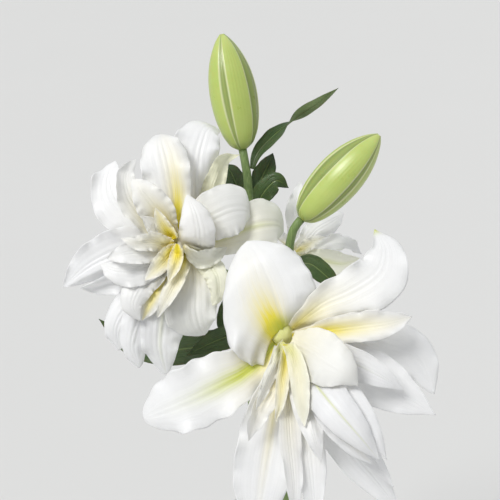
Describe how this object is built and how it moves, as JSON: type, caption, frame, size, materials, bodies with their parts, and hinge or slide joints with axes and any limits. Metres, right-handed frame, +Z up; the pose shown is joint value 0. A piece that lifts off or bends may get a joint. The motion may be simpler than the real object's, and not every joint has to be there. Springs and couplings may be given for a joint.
{
  "type": "lilies in a vase",
  "caption": "Double-flowered white lilies, open and in bud, standing with their leaves in a plain glazed vase.",
  "frame": {"origin": "centre of the vase's flat foot", "axes": "+Z up along the vase's axis; -Y is the front, which the largest bloom faces"},
  "size_m": [0.2626, 0.2285, 0.6117],
  "materials": {
    "petal": "soft white petal, satin, with a yellow throat",
    "leaf": "dark green leaf, semi-gloss, with parallel veins",
    "stem": "fresh green stem, satin",
    "bud": "closed yellow-green bud, satin, with pale seams",
    "glaze": "smoky grey glaze, glossy"
  },
  "bodies": {
    "root": {"back_behind": "petal", "back_low": "petal", "back_right": "petal", "back_right_low": "petal", "back_right_up": "petal", "back_up": "petal", "bud_leaning": "bud", "bud_upright": "bud", "front_bottom": "petal", "front_bottom_inner": "petal", "front_bottom_narrow": "petal", "front_bottom_right": "petal", "front_heart": "petal", "front_heart_low": "petal", "front_heart_side": "petal", "front_heart_top": "petal", "front_left": "petal", "front_left_boat": "petal", "front_low_right": "petal", "front_low_tip": "petal", "front_right_back": "petal", "front_right_inner": "petal", "front_right_low": "petal", "front_right_yellow": "petal", "front_top_left": "petal", "front_top_right": "petal", "leaf_curled": "leaf", "leaf_far_left": "leaf", "leaf_low": "leaf", "leaf_middle": "leaf", "leaf_stem_right": "leaf", "leaf_top_left": "leaf", "leaf_top_right": "leaf", "leaf_twisted": "leaf", "leaf_under_back": "leaf", "left_bottom_right": "petal", "left_bunch_low": "petal", "left_bunch_top": "petal", "left_far": "petal", "left_far_low": "petal", "left_heart": "petal", "left_low_cream": "petal", "left_low_curled": "petal", "left_low_folded": "petal", "left_low_inner": "petal", "left_low_middle": "petal", "left_low_outer": "petal", "left_right": "petal", "left_right_back": "petal", "left_right_low": "petal", "left_top": "petal", "left_top_back": "petal", "left_top_reverse": "petal", "left_upper": "petal", "left_upper_folded": "petal", "left_upper_inner": "petal", "stem_left": "stem", "stem_right": "stem", "vase": "glaze"}
  },
  "joints": []
}
